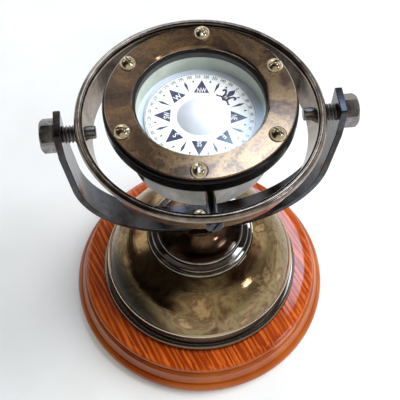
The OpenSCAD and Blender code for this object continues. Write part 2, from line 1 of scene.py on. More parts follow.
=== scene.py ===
# Gimbal compass on a turned wooden base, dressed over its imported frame.
# Lengths in the settings are millimetres; Blender gets metres.
import math

import bmesh
import bpy
from mathutils import Matrix, Vector


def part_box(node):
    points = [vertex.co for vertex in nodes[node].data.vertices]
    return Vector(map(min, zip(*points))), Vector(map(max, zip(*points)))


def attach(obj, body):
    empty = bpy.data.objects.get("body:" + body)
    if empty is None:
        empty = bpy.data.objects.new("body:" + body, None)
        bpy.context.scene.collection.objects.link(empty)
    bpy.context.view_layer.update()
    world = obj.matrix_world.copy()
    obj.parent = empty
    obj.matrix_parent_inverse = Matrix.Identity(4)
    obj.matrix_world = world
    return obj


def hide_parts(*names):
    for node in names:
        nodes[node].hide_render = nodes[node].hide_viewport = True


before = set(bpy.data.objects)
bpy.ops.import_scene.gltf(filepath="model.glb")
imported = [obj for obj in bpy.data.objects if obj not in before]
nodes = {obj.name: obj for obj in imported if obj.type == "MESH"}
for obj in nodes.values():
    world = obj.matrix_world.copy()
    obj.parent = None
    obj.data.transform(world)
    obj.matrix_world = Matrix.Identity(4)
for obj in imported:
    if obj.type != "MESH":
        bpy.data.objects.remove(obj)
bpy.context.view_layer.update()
mm = 0.001
weld = 1e-6  # points nearer than this, in metres, are one
facing = 0.9  # a normal with this much of an axis faces along it
wavePeriod = 0.314  # period of the wave texture at scale 1
noiseLow, noiseHigh = 0.35, 0.65  # most of a noise lies between these
near = 0.1  # mm within which a point counts as being at a place
print("frame loaded:", len(nodes), "nodes")


def linear(hexColour):
    channels = [int(hexColour[i:i + 2], 16) / 255 for i in (1, 3, 5)]
    return (*[c / 12.92 if c <= 0.04045 else ((c + 0.055) / 1.055) ** 2.4 for c in channels], 1.0)


def boxOf(name):
    low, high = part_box(name)
    return low / mm, high / mm


# Heights and radii that the pieces share, read from the frame
boltLow, boltHigh = boxOf("pivot_bolt_right")
pivotZ = (boltLow.z + boltHigh.z) / 2
yokeLow, yokeHigh = boxOf("yoke")
bezelTop = boxOf("bezel")[1].z
cardTop = boxOf("compass_card")[1].z


# Selection and finishing

def clearSelection():
    if bpy.context.object and bpy.context.object.mode != "OBJECT":
        bpy.ops.object.mode_set(mode="OBJECT")
    bpy.ops.object.select_all(action="DESELECT")


def selectOnly(piece):
    clearSelection()
    piece.select_set(True)
    bpy.context.view_layer.objects.active = piece


def startPiece(kind, name, scale=(1, 1, 1), **settings):
    # Circles and planes don't heed the operator's own scale, so it is set here
    clearSelection()
    getattr(bpy.ops.mesh, "primitive_" + kind + "_add")(**settings)
    piece = bpy.context.object
    piece.name = piece.data.name = name
    piece.scale = scale
    bpy.ops.object.transform_apply(location=True, rotation=True, scale=True)
    return piece


def pick(piece, test, kind="FACE"):
    # Leaves the piece in edit mode with only the parts that pass the test selected
    bpy.ops.object.mode_set(mode="EDIT")
    bpy.ops.mesh.select_mode(type=kind)
    bpy.ops.mesh.select_all(action="DESELECT")
    shape = bmesh.from_edit_mesh(piece.data)
    for part in {"FACE": shape.faces, "EDGE": shape.edges, "VERT": shape.verts}[kind]:
        if test(part):
            part.select_set(True)
    shape.select_flush_mode()
    bmesh.update_edit_mesh(piece.data)


def modify(piece, kind, **settings):
    selectOnly(piece)
    modifier = piece.modifiers.new(kind.lower(), kind)
    for name, value in settings.items():
        setattr(modifier, name, value)
    bpy.ops.object.modifier_apply(modifier=modifier.name)


def bevelEdges(piece, width, segments=3, sharperThan=50):
    modify(piece, "BEVEL", width=width * mm, segments=segments, limit_method="ANGLE",
           angle_limit=math.radians(sharperThan))


def carve(piece, tool, operation="DIFFERENCE"):
    modify(piece, "BOOLEAN", operation=operation, object=tool, solver="EXACT")
    bpy.data.objects.remove(tool)


def copyPiece(piece, name, place):
    twin = piece.copy()
    twin.data = piece.data.copy()
    twin.name = twin.data.name = name
    twin.data.transform(place)
    bpy.context.scene.collection.objects.link(twin)
    return twin


def joinPieces(first, *others):
    selectOnly(first)
    for other in others:
        other.select_set(True)
    bpy.ops.object.join()
    return first


def closeUp(piece, smooth=35):
    selectOnly(piece)
    bpy.ops.object.mode_set(mode="EDIT")
    bpy.ops.mesh.select_all(action="SELECT")
    bpy.ops.mesh.remove_doubles(threshold=weld)
    bpy.ops.mesh.normals_make_consistent(inside=False)
    bpy.ops.object.mode_set(mode="OBJECT")
    bpy.ops.object.shade_smooth_by_angle(angle=math.radians(smooth))


def settle(piece, body, material, replaced=()):
    piece.data.materials.clear()
    piece.data.materials.append(material)
    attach(piece, body)
    if replaced:
        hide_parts(*replaced)


# Materials. Patterns read Object coordinates, turned to millimetres first

def addNode(tree, kind, settings=None, links=None):
    node = tree.nodes.new("ShaderNode" + kind)
    for name, value in (settings or {}).items():
        if name == "stops":
            ramp = node.color_ramp
            while len(ramp.elements) < len(value):
                ramp.elements.new(0.5)
            for element, (place, colour) in zip(ramp.elements, value):
                element.position, element.color = place, linear(colour)
        elif isinstance(name, int) or name in node.inputs:
            node.inputs[name].default_value = value
        else:
            setattr(node, name, value)
    for name, socket in (links or {}).items():
        tree.links.new(socket, node.inputs[name])
    return node


def newMaterial(name, **settings):
    material = bpy.data.materials.new(name)
    material.use_nodes = True
    tree = material.node_tree
    shader = tree.nodes["Principled BSDF"]
    for key, value in settings.items():
        shader.inputs[key].default_value = linear(value) if isinstance(value, str) else value
    here = addNode(tree, "TexCoord")
    size = addNode(tree, "Mapping", {"Scale": (1 / mm, 1 / mm, 1 / mm)}, {"Vector": here.outputs["Object"]})
    return material, tree, shader, size.outputs["Vector"]


def patinaMetal(name, stops, blotch, fleck, roughness, bumpDepth=0.02, stretch=(1, 1, 1), speckle=0.25,
                lacquer=0.0):
    # Metal coloured by blotches, with finer flecks, and a roughness that varies with them
    material, tree, shader, place = newMaterial(name, Metallic=1.0)
    shader.inputs["Coat Weight"].default_value = lacquer
    shader.inputs["Coat Roughness"].default_value = 0.08
    drawn = addNode(tree, "Mapping", {"Scale": stretch}, {"Vector": place})
    broad = addNode(tree, "TexNoise", {"Scale": 1 / blotch, "Detail": 5, "Roughness": 0.6, "Distortion": 0.6},
                    {"Vector": drawn.outputs[0]})
    fine = addNode(tree, "TexNoise", {"Scale": 1 / fleck, "Detail": 3, "Roughness": 0.7},
                   {"Vector": drawn.outputs[0]})
    both = addNode(tree, "Mix", {"data_type": "FLOAT", 0: speckle},
                   {2: broad.outputs[0], 3: fine.outputs[0]})
    tint = addNode(tree, "ValToRGB", {"stops": stops}, {0: both.outputs[0]})
    tree.links.new(tint.outputs[0], shader.inputs["Base Color"])
    low, high = roughness
    dull = addNode(tree, "MapRange",
                   {"From Min": noiseLow, "From Max": noiseHigh, "To Min": low, "To Max": high},
                   {"Value": both.outputs[0]})
    tree.links.new(dull.outputs[0], shader.inputs["Roughness"])
    bump = addNode(tree, "Bump", {"Strength": 0.25, "Distance": bumpDepth * mm}, {"Height": fine.outputs[0]})
    tree.links.new(bump.outputs[0], shader.inputs["Normal"])
    return material


def spunBrass():
    # Spun brass of the foot under old lacquer: soft brown, olive and gold patches over fine turning lines,
    # with painted shade towards the left, a painted highlight on the dome's bead and grey-brown mouldings
    # below it
    material, tree, shader, place = newMaterial("spunBrass", Metallic=1.0)
    foot = {"patch": 22, "shift": (40, 0, 0), "lineGap": 1.5, "lineDepth": 0.012,
            "paintedShadeToward": (0.88, 0.47, 0), "paintedShadeFrom": -49, "paintedShadeTo": -36, "paintedShadeShare": 0.06,
            "beadLow": 32.0, "beadHigh": 33.9, "edge": 0.25, "roughLow": 0.07, "roughHigh": 0.2,
            "bead": "#d9cbb2", "mouldings": "#80766e",
            "patches": [(0.34, "#4a3323"), (0.43, "#7a6047"), (0.5, "#94835f"),
                        (0.56, "#775c43"), (0.62, "#b39a72"), (0.72, "#6b4d36")]}
    moved = addNode(tree, "Mapping", {"Location": foot["shift"]}, {"Vector": place})
    patch = addNode(tree, "TexNoise",
                    {"Scale": 1 / foot["patch"], "Detail": 6, "Roughness": 0.62, "Distortion": 0.5},
                    {"Vector": moved.outputs[0]})
    tint = addNode(tree, "ValToRGB", {"stops": foot["patches"]}, {0: patch.outputs[0]})
    axes = addNode(tree, "SeparateXYZ", None, {0: place})
    # Painted shade: the patches darken smoothly towards the left side of the dome, down to a small share of
    # their colour
    side = addNode(tree, "VectorMath", {"operation": "DOT_PRODUCT", 1: foot["paintedShadeToward"]}, {0: place})
    paintedShade = addNode(tree, "MapRange", {"interpolation_type": "SMOOTHSTEP", "From Min": foot["paintedShadeFrom"],
                                     "From Max": foot["paintedShadeTo"], "To Min": foot["paintedShadeShare"]},
                  {"Value": side.outputs["Value"]})
    shaded = addNode(tree, "Mix", {"data_type": "RGBA", "blend_type": "MULTIPLY", 0: 1.0},
                     {6: tint.outputs[0], 7: paintedShade.outputs[0]})
    onDome = addNode(tree, "MapRange",
                     {"From Min": foot["beadLow"] - foot["edge"], "From Max": foot["beadLow"]},
                     {"Value": axes.outputs[2]})
    overBead = addNode(tree, "MapRange",
                       {"From Min": foot["beadHigh"], "From Max": foot["beadHigh"] + foot["edge"]},
                       {"Value": axes.outputs[2]})
    # Painted highlight: a pale band of colour on the bead round the foot of the dome
    bead = addNode(tree, "Mix", {"data_type": "RGBA", 6: linear(foot["bead"])},
                   {0: overBead.outputs[0], 7: shaded.outputs[2]})
    whole = addNode(tree, "Mix", {"data_type": "RGBA", 6: linear(foot["mouldings"])},
                    {0: onDome.outputs[0], 7: bead.outputs[2]})
    tree.links.new(whole.outputs[2], shader.inputs["Base Color"])
    lines = addNode(tree, "TexWave", {"wave_type": "RINGS", "rings_direction": "Z",
                                      "Scale": wavePeriod / foot["lineGap"], "Distortion": 0.6, "Detail": 3},
                    {"Vector": place})
    dull = addNode(tree, "MapRange", {"From Min": noiseLow, "From Max": noiseHigh,
                                      "To Min": foot["roughLow"], "To Max": foot["roughHigh"]},
                   {"Value": patch.outputs[0]})
    tree.links.new(dull.outputs[0], shader.inputs["Roughness"])
    bump = addNode(tree, "Bump", {"Strength": 0.2, "Distance": foot["lineDepth"] * mm},
                   {"Height": lines.outputs[1]})
    tree.links.new(bump.outputs[0], shader.inputs["Normal"])
    return material


# Brass plate of the bezel under clear lacquer: brown, with tan patches and fine specks
bezelBrass = patinaMetal(
    "bezelBrass", [(0.34, "#43342a"), (0.45, "#6c5443"), (0.54, "#92734f"), (0.66, "#57463a")],
    blotch=22, fleck=1.5, roughness=(0.09, 0.18), speckle=0.2, lacquer=0.9)
# Turned collar rings: neutral and polished, so that they show black and silver lines
turnedBrass = patinaMetal("turnedBrass", [(0.3, "#5b534d"), (0.5, "#867d75"), (0.7, "#a69d94")],
                          blotch=9, fleck=1.5, roughness=(0.04, 0.12))
# Bronzed neck: dark brown and glossy
bronzedBrass = patinaMetal("bronzedBrass", [(0.35, "#3c2d24"), (0.6, "#6e5645")],
                           blotch=8, fleck=1.5, roughness=(0.09, 0.18))
# Bronzed rolled ring: brown-grey with paler rubbed places
bronzedRing = patinaMetal("bronzedRing", [(0.32, "#584c44"), (0.5, "#8a7e74"), (0.66, "#aaa096")],
                          blotch=13, fleck=1.8, roughness=(0.1, 0.24))
# Blackened steel strip of the yoke: slate grey with brown-black smears, drawn out up the arms
blackenedSteel = patinaMetal("blackenedSteel", [(0.32, "#251d1a"), (0.45, "#3c3837"), (0.6, "#505259")],
                             blotch=15, fleck=2.0, roughness=(0.12, 0.28), stretch=(1, 1, 0.5))
# Gunmetal of the outer bolts: worn grey, less polished than the rest
gunmetal = patinaMetal("gunmetal", [(0.32, "#5c5856"), (0.52, "#868280"), (0.7, "#a8a4a1")],
                       blotch=5, fleck=1.0, roughness=(0.24, 0.4))
# Nickel-plated bowl: polished, faintly smeared
nickelPlate = patinaMetal("nickelPlate", [(0.3, "#565350"), (0.5, "#787571"), (0.7, "#9c9892")],
                          blotch=16, fleck=3.0, roughness=(0.06, 0.18))
# Brass of the small screws: rubbed bright and glossy
paleBrass = patinaMetal("paleBrass", [(0.3, "#8c7d64"), (0.52, "#cbbb9e"), (0.7, "#e6dbc5")],
                        blotch=3, fleck=0.7, roughness=(0.08, 0.2))
# Zinc-plated steel of the hidden fixings: pale blue-grey, half matt
zincSteel = patinaMetal("zincSteel", [(0.35, "#8d9296"), (0.65, "#b9bec2")],
                        blotch=3, fleck=0.6, roughness=(0.25, 0.4))
# Cast ballast: dull grey, with a rough skin
castMetal = patinaMetal("castMetal", [(0.35, "#55585e"), (0.65, "#83868c")],
                        blotch=5, fleck=0.8, roughness=(0.5, 0.7), bumpDepth=0.08)
# Drawn magnet steel: dark grey, half matt
magnetSteel = patinaMetal("magnetSteel", [(0.35, "#4c4e52"), (0.65, "#74777c")],
                          blotch=3, fleck=0.6, roughness=(0.3, 0.45))


def bluedSteel():
    # Inner pivot screws: bright blue-grey shank, and a darker head
    material, tree, shader, place = newMaterial("bluedSteel", Metallic=1.0)
    # The head, past about 52 mm out along Y, is coloured darker than the shank
    darkHead = {"from": 52, "to": 54, "smear": 3}
    axes = addNode(tree, "SeparateXYZ", None, {0: place})
    out = addNode(tree, "Math", {"operation": "ABSOLUTE"}, {0: axes.outputs[1]})
    head = addNode(tree, "MapRange", {"From Min": darkHead["from"], "From Max": darkHead["to"]},
                   {"Value": out.outputs[0]})
    smear = addNode(tree, "TexNoise", {"Scale": 1 / darkHead["smear"], "Detail": 4, "Roughness": 0.65},
                    {"Vector": place})
    shank = addNode(tree, "ValToRGB", {"stops": [(0.35, "#6f7987"), (0.65, "#a3adbb")]},
                    {0: smear.outputs[0]})
    black = addNode(tree, "ValToRGB", {"stops": [(0.35, "#1d1c1d"), (0.65, "#4b4a4a")]},
                    {0: smear.outputs[0]})
    tint = addNode(tree, "Mix", {"data_type": "RGBA"},
                   {0: head.outputs[0], 6: shank.outputs[0], 7: black.outputs[0]})
    tree.links.new(tint.outputs[2], shader.inputs["Base Color"])
    dull = addNode(tree, "MapRange", {"To Min": 0.12, "To Max": 0.26}, {"Value": smear.outputs[0]})
    tree.links.new(dull.outputs[0], shader.inputs["Roughness"])
    return material


def lacqueredBeech():
    # Stained beech under thick gloss lacquer: fine orange grain streaks about 2.8 mm apart on the red-brown
    # flat top, where the turner cut across the boards, and a plain orange-brown on the mouldings
    material, tree, shader, place = newMaterial("lacqueredBeech", Roughness=0.4)
    shader.inputs["Specular IOR Level"].default_value = 0.05  # the gloss is the lacquer's alone
    shader.inputs["Coat Weight"].default_value = 1.0
    shader.inputs["Coat Roughness"].default_value = 0.03
    shader.inputs["Coat IOR"].default_value = 1.5
    wood = {"grainTurn": -68, "rowLength": 14, "streakGap": 2.8, "streakWide": 2.6, "streakLength": 46,
            "figure": 22, "topFrom": 18.2, "topTo": 19.6}
    turned = addNode(tree, "Mapping", {"Rotation": (0, 0, math.radians(90 - wood["grainTurn"]))},
                     {"Vector": place})
    drawn = addNode(tree, "Mapping", {"Scale": (1, 1 / wood["rowLength"], 1)}, {"Vector": turned.outputs[0]})
    rows = addNode(tree, "TexWave", {"bands_direction": "X", "Scale": wavePeriod / wood["streakGap"],
                                     "Distortion": 7.0, "Detail": 3, "Detail Scale": 2.0,
                                     "Detail Roughness": 0.6},
                   {"Vector": drawn.outputs[0]})
    pulled = addNode(tree, "Mapping", {"Scale": (1 / wood["streakWide"], 1 / wood["streakLength"], 1)},
                     {"Vector": turned.outputs[0]})
    broken = addNode(tree, "TexNoise", {"Scale": 1.0, "Detail": 4, "Roughness": 0.65},
                     {"Vector": pulled.outputs[0]})
    both = addNode(tree, "Mix", {"data_type": "FLOAT", 0: 0.78}, {2: rows.outputs[1], 3: broken.outputs[0]})
    streaks = addNode(tree, "ValToRGB", {"stops": [(0.45, "#000000"), (0.66, "#ffffff")]},
                      {0: both.outputs[0]})
    axes = addNode(tree, "SeparateXYZ", None, {0: place})
    top = addNode(tree, "MapRange", {"From Min": wood["topFrom"], "From Max": wood["topTo"]},
                  {"Value": axes.outputs[2]})
    onTop = addNode(tree, "Math", {"operation": "MULTIPLY"}, {0: streaks.outputs[0], 1: top.outputs[0]})
    figure = addNode(tree, "TexNoise", {"Scale": 1 / wood["figure"], "Detail": 2},
                     {"Vector": turned.outputs[0]})
    plain = addNode(tree, "ValToRGB", {"stops": [(0.32, "#96420f"), (0.68, "#b05a1a")]},
                    {0: figure.outputs[0]})
    dark = addNode(tree, "ValToRGB", {"stops": [(0.32, "#852a09"), (0.68, "#aa420e")]},
                   {0: figure.outputs[0]})
    ground = addNode(tree, "Mix", {"data_type": "RGBA"},
                     {0: top.outputs[0], 6: plain.outputs[0], 7: dark.outputs[0]})
    tint = addNode(tree, "Mix", {"data_type": "RGBA", 7: linear("#d96c26")},
                   {0: onTop.outputs[0], 6: ground.outputs[2]})
    tree.links.new(tint.outputs[2], shader.inputs["Base Color"])
    bump = addNode(tree, "Bump", {"Strength": 0.05, "Distance": 0.04 * mm}, {"Height": both.outputs[0]})
    tree.links.new(bump.outputs[0], shader.inputs["Normal"])
    return material


def woolFelt():
    # Green wool felt: matt, with short matted fibres a fraction of a mm thick
    material, tree, shader, place = newMaterial("woolFelt", Roughness=0.95)
    felt = {"fibre": 0.5, "nap": 0.3}
    shader.inputs["Sheen Weight"].default_value = 0.3
    fibre = addNode(tree, "TexNoise", {"Scale": 1 / felt["fibre"], "Detail": 4, "Roughness": 0.8},
                    {"Vector": place})
    tint = addNode(tree, "ValToRGB", {"stops": [(0.35, "#1c3022"), (0.65, "#31503a")]},
                   {0: fibre.outputs[0]})
    tree.links.new(tint.outputs[0], shader.inputs["Base Color"])
    bump = addNode(tree, "Bump", {"Strength": 0.8, "Distance": felt["nap"] * mm},
                   {"Height": fibre.outputs[0]})
    tree.links.new(bump.outputs[0], shader.inputs["Normal"])
    return material


def smoothCoat(name, dark, pale, roughness, blotch, coat=0.0, bumpDepth=0.01, ior=1.5):
    # Paint, enamel, rubber, plastic or printed board: one colour that drifts a little, over faint unevenness
    material, tree, shader, place = newMaterial(name, Roughness=roughness, IOR=ior)
    shader.inputs["Coat Weight"].default_value = coat
    shader.inputs["Coat Roughness"].default_value = 0.05
    drift = addNode(tree, "TexNoise", {"Scale": 1 / blotch, "Detail": 4, "Roughness": 0.6}, {"Vector": place})
    tint = addNode(tree, "ValToRGB", {"stops": [(0.35, dark), (0.65, pale)]}, {0: drift.outputs[0]})
    tree.links.new(tint.outputs[0], shader.inputs["Base Color"])
    bump = addNode(tree, "Bump", {"Strength": 0.2, "Distance": bumpDepth * mm}, {"Height": drift.outputs[0]})
    tree.links.new(bump.outputs[0], shader.inputs["Normal"])
    return material


# Stoved black enamel of the flange: deep black with a soft gloss
blackEnamel = smoothCoat("blackEnamel", "#040304", "#08070a", roughness=0.2, blotch=6, ior=1.3)
# Pale blue enamel of the plate round the card, satin
blueEnamel = smoothCoat("blueEnamel", "#c3cde0", "#ced7e9", roughness=0.35, blotch=8)
# Grey-green paint inside the bowl, half matt
greenPaint = smoothCoat("greenPaint", "#aeb4aa", "#bdc3b9", roughness=0.5, blotch=8)
# Black nitrile rubber of the gasket, matt with a moulded grain
blackRubber = smoothCoat("blackRubber", "#15171c", "#22252b", roughness=0.6, blotch=2, bumpDepth=0.04)
# White printed card, satin
cardBoard = smoothCoat("cardBoard", "#f3f6f7", "#f8fafb", roughness=0.45, blotch=5)
# White enamelled float, glossier than the card
whiteEnamel = smoothCoat("whiteEnamel", "#e2e6f5", "#eaedf8", roughness=0.3, blotch=7, coat=0.2)
# Navy printing ink of the points, darts and lily
navyInk = smoothCoat("navyInk", "#2b3050", "#363b5c", roughness=0.5, blotch=2)
# Blue-grey printing ink of the ticks and small numbers
greyInk = smoothCoat("greyInk", "#2c3350", "#3a415c", roughness=0.5, blotch=2)
# White printing ink of the letters
whiteInk = smoothCoat("whiteInk", "#eef1f4", "#f8fafb", roughness=0.5, blotch=2)
# Synthetic ruby of the jewel, polished deep red
redRuby = smoothCoat("redRuby", "#8e1f2c", "#b23543", roughness=0.1, blotch=2, ior=1.77)


def clearGlass():
    # Flat float glass: clear, with the faintest green. Shadow rays pass, so that the card is lit through it
    material, tree, shader, place = newMaterial("clearGlass", Roughness=0.0, IOR=1.52)
    pane = {"ripple": 20, "shadow": "#f7f8f9"}
    shader.inputs["Transmission Weight"].default_value = 1.0
    ripple = addNode(tree, "TexNoise", {"Scale": 1 / pane["ripple"], "Detail": 1}, {"Vector": place})
    tint = addNode(tree, "ValToRGB", {"stops": [(0.4, "#fbfffd"), (0.6, "#ffffff")]}, {0: ripple.outputs[0]})
    tree.links.new(tint.outputs[0], shader.inputs["Base Color"])
    path = addNode(tree, "LightPath")
    through = addNode(tree, "BsdfTransparent", {"Color": linear(pane["shadow"])})
    mixed = addNode(tree, "MixShader", None, {0: path.outputs["Is Shadow Ray"], 1: shader.outputs[0],
                                              2: through.outputs[0]})
    tree.links.new(mixed.outputs[0], tree.nodes["Material Output"].inputs["Surface"])
    return material


woodMaterial = lacqueredBeech()
steelMaterial = bluedSteel()
feltMaterial = woolFelt()
glassMaterial = clearGlass()
print("materials made:", len(bpy.data.materials))

nodeFinishes = {
    "felt_pad": feltMaterial, "wooden_base": woodMaterial, "base_bolt": zincSteel, "base_washer": zincSteel,
    "dome_foot": spunBrass(), "dome_collar": turnedBrass, "pedestal_neck": bronzedBrass,
    "yoke": blackenedSteel, "yoke_screw": paleBrass, "pivot_bolt_left": gunmetal,
    "pivot_bolt_right": gunmetal, "gimbal_ring": bronzedRing, "inner_pivot_front": steelMaterial,
    "inner_pivot_rear": steelMaterial, "bowl": nickelPlate, "bowl_flange": blackEnamel,
    "trunnion_front": paleBrass, "trunnion_rear": paleBrass, "ballast": castMetal, "filler_plug": paleBrass,
    "well_plate": blueEnamel, "bowl_liner": greenPaint, "gasket": blackRubber, "glass": glassMaterial,
    "bezel": bezelBrass, "bezel_screws": paleBrass, "needle_post": paleBrass, "needle": magnetSteel,
    "compass_card": cardBoard, "float_dome": whiteEnamel, "float_cup": whiteEnamel,
    "magnets": magnetSteel, "jewel_cup": redRuby,
}
for nodeName, finish in nodeFinishes.items():
    for materialSlot in nodes[nodeName].material_slots:
        materialSlot.material = finish
print("frame nodes dressed")


# The yoke: one flat strip bent to a U

yokeStrip = {"width": 15, "thick": 3.2, "bend": 56, "lean": 5, "seat": 9, "bendSteps": 40, "corner": 1.2,
             "edge": 0.4}


def makeYoke(s):
    lean = math.radians(s["lean"])
    outX, bottom, top = yokeHigh.x, yokeLow.z, yokeHigh.z
    kneeZ = pivotZ - s["seat"]
    bendZ = bottom + s["bend"]
    bendEndZ = bendZ - s["bend"] * math.sin(lean)
    leanRun = (kneeZ - bendEndZ) * math.tan(lean)
    bendX = outX - s["bend"] * math.cos(lean) - leanRun
    strip = startPiece("cube", "yokeStrip", size=1,
                       location=(bendX / 2 * mm, 0, (bottom + s["thick"] / 2) * mm),
                       scale=(bendX * mm, s["width"] * mm, s["thick"] * mm))
    pick(strip, lambda f: f.normal.x > facing)
    bpy.ops.mesh.spin(steps=s["bendSteps"], angle=math.radians(90) - lean,
                      center=(bendX * mm, 0, bendZ * mm), axis=(0, 1, 0))
    # The leaning part of the arm, then the upright part that holds the bolt
    for step in ((leanRun, 0, kneeZ - bendEndZ), (0, 0, top - kneeZ)):
        bpy.ops.mesh.extrude_region_move(TRANSFORM_OT_translate={"value": tuple(n * mm for n in step)})
    bpy.ops.transform.resize(value=(1, 1, 0), center_override=(0, 0, top * mm))
    pick(strip, lambda f: f.normal.x < -facing and abs(f.calc_center_median().x) < weld)
    bpy.ops.mesh.delete(type="ONLY_FACE")
    # Round the strip's top corners
    pick(strip, lambda e: all(v.co.z > (top - near) * mm for v in e.verts)
         and abs(e.verts[0].co.y - e.verts[1].co.y) < weld, "EDGE")
    bpy.ops.mesh.bevel(offset=s["corner"] * mm, segments=4, affect="EDGES")
    bpy.ops.object.mode_set(mode="OBJECT")
    modify(strip, "MIRROR", use_axis=(True, False, False), use_mirror_merge=True, merge_threshold=weld)
    closeUp(strip)
    bevelEdges(strip, s["edge"])
    closeUp(strip)
    settle(strip, "stand", blackenedSteel, ["yoke"])


makeYoke(yokeStrip)
print("yoke made")


# Outer pivot bolts: chamfered hexagon head, cut thread, plain end in the ring's bore

pivotBolt = {"flats": 13.5, "head": 6.5, "chamferRun": 2.2, "chamferOut": 1, "faceIn": 0.3, "thread": 8,
             "pitch": 1.5, "threadDepth": 0.85, "crestFrom": 0.42, "crestTo": 0.58, "leadIn": 2,
             "journal": 5.8, "plain": 7.37, "overlap": 1, "tipEdge": 0.5, "headEdge": 0.35}


def makeBolt(s):
    outX, tipX = yokeHigh.x, boltLow.x
    corner = s["flats"] / 2 / math.cos(math.radians(30))
    along = (math.radians(90), 0, math.radians(90))
    headPlace = ((outX + s["head"] / 2) * mm, 0, pivotZ * mm)
    head = startPiece("cylinder", "pivotBoltRight", vertices=6, radius=corner * mm, depth=s["head"] * mm,
                      location=headPlace, rotation=along)
    faceR = s["flats"] / 2 - s["faceIn"]
    slope = (corner + s["chamferOut"] - faceR) / s["chamferRun"]
    cone = startPiece("cone", "chamferCone", vertices=72, radius1=(faceR + slope * s["head"]) * mm,
                      radius2=faceR * mm, depth=s["head"] * mm, location=headPlace, rotation=along)
    carve(head, cone, "INTERSECT")
    bevelEdges(head, s["headEdge"], sharperThan=28)
    # One tooth of the thread, swept round by the screw modifier
    crest, root = s["thread"] / 2, s["thread"] / 2 - s["threadDepth"]
    pitch = s["pitch"]
    shoulder = tipX + s["plain"]
    headEnd = outX - s["overlap"]
    start = shoulder - s["leadIn"] * pitch
    tooth = bpy.data.meshes.new("boltThread")
    tooth.from_pydata([(start * mm, 0, root * mm), ((start + s["crestFrom"] * pitch) * mm, 0, crest * mm),
                       ((start + s["crestTo"] * pitch) * mm, 0, crest * mm),
                       ((start + pitch) * mm, 0, root * mm)],
                      [(0, 1), (1, 2), (2, 3)], [])
    thread = bpy.data.objects.new("boltThread", tooth)
    bpy.context.scene.collection.objects.link(thread)
    thread.location = (0, 0, pivotZ * mm)
    turns = math.ceil((headEnd - start) / pitch) + 1
    modify(thread, "SCREW", axis="X", angle=math.radians(360), screw_offset=pitch * mm, iterations=turns,
           steps=32, render_steps=32, use_merge_vertices=True, merge_threshold=weld)
    bpy.ops.object.transform_apply(location=True, rotation=True, scale=True)
    closeUp(thread)
    for cutX, side in ((shoulder, -1), (headEnd, 1)):
        bpy.ops.object.mode_set(mode="EDIT")
        bpy.ops.mesh.select_all(action="SELECT")
        bpy.ops.mesh.bisect(plane_co=(cutX * mm, 0, pivotZ * mm), plane_no=(side, 0, 0), clear_outer=True,
                            use_fill=True)
        bpy.ops.object.mode_set(mode="OBJECT")
    journalEnd = shoulder + s["overlap"]
    journal = startPiece("cylinder", "boltJournal", vertices=40, radius=s["journal"] / 2 * mm,
                         depth=(journalEnd - tipX) * mm,
                         location=((journalEnd + tipX) / 2 * mm, 0, pivotZ * mm), rotation=along)
    bevelEdges(journal, s["tipEdge"])
    bolt = joinPieces(head, thread, journal)
    closeUp(bolt, 32)
    return bolt


boltRight = makeBolt(pivotBolt)
boltLeft = copyPiece(boltRight, "pivotBoltLeft", Matrix.Rotation(math.radians(180), 4, "Z"))
settle(boltRight, "stand", gunmetal, ["pivot_bolt_right"])
settle(boltLeft, "stand", gunmetal, ["pivot_bolt_left"])
print("outer pivot bolts made")


# Round-headed slotted screws

roundScrew = {"slot": 1.0, "slotDepth": 1.2, "edge": 0.14, "shankIn": 0.3, "shankEdge": 0.3}


def makeScrew(name, size, s):
    # Stands on z = 0 with its slot along X
    across, high = size["across"], size["high"]
    ball = (across * across / 4 + high * high) / (2 * high)
    head = startPiece("uv_sphere", name, segments=40, ring_count=28, radius=ball * mm,
                      location=(0, 0, (high - ball) * mm))
    bpy.ops.object.mode_set(mode="EDIT")
    bpy.ops.mesh.select_all(action="SELECT")
    bpy.ops.mesh.bisect(plane_co=(0, 0, 0), plane_no=(0, 0, 1), clear_inner=True, use_fill=True)
    bpy.ops.object.mode_set(mode="OBJECT")
    saw = startPiece("cube", "slotSaw", size=1, location=(0, 0, high * mm),
                     scale=(2 * across * mm, s["slot"] * mm, 2 * s["slotDepth"] * mm))
    carve(head, saw)
    bevelEdges(head, s["edge"], segments=2, sharperThan=35)
    body = startPiece("cylinder", "screwShank", vertices=24, radius=size["shank"] / 2 * mm,
                      depth=size["length"] * mm, location=(0, 0, (s["shankIn"] - size["length"] / 2) * mm))
    bevelEdges(body, s["shankEdge"], segments=2)
    screw = joinPieces(head, body)
    closeUp(screw, 30)
    return screw


bezelScrews = {"across": 7.8, "high": 3, "shank": 3.4, "length": 6.4, "circle": 37.3, "first": 22.9,
               "slotTurns": [24, 84, -56, -6, 84, -51]}
screwHead = makeScrew("bezelScrew", bezelScrews, roundScrew)
screwStep = 360 / len(bezelScrews["slotTurns"])
for i, slotTurn in enumerate(bezelScrews["slotTurns"]):
    spot = math.radians(bezelScrews["first"] + screwStep * i)
    centre = Vector((math.cos(spot), math.sin(spot), 0)) * bezelScrews["circle"] * mm
    slotWay = Matrix.Rotation(math.radians(slotTurn), 4, "Z")
    place = Matrix.Translation(centre + Vector((0, 0, bezelTop * mm))) @ slotWay
    settle(copyPiece(screwHead, f"bezelScrew{i + 1}", place), "bowl", paleBrass,
           ["bezel_screws"])
bpy.data.objects.remove(screwHead)
print("bezel screws made")

yokeScrew = {"across": 8, "high": 3, "shank": 4, "length": 7.2, "slotTurn": 30}
centreScrew = makeScrew("yokeScrewHead", yokeScrew, roundScrew)
slotWay = Matrix.Rotation(math.radians(yokeScrew["slotTurn"]), 4, "Z")
centreScrew.data.transform(Matrix.Translation((0, 0, (yokeLow.z + yokeStrip["thick"]) * mm)) @ slotWay)
settle(centreScrew, "stand", paleBrass, ["yoke_screw"])
print("yoke screw made")


# The card's print: thin raised ink, drawn with north up and then turned to its bearing

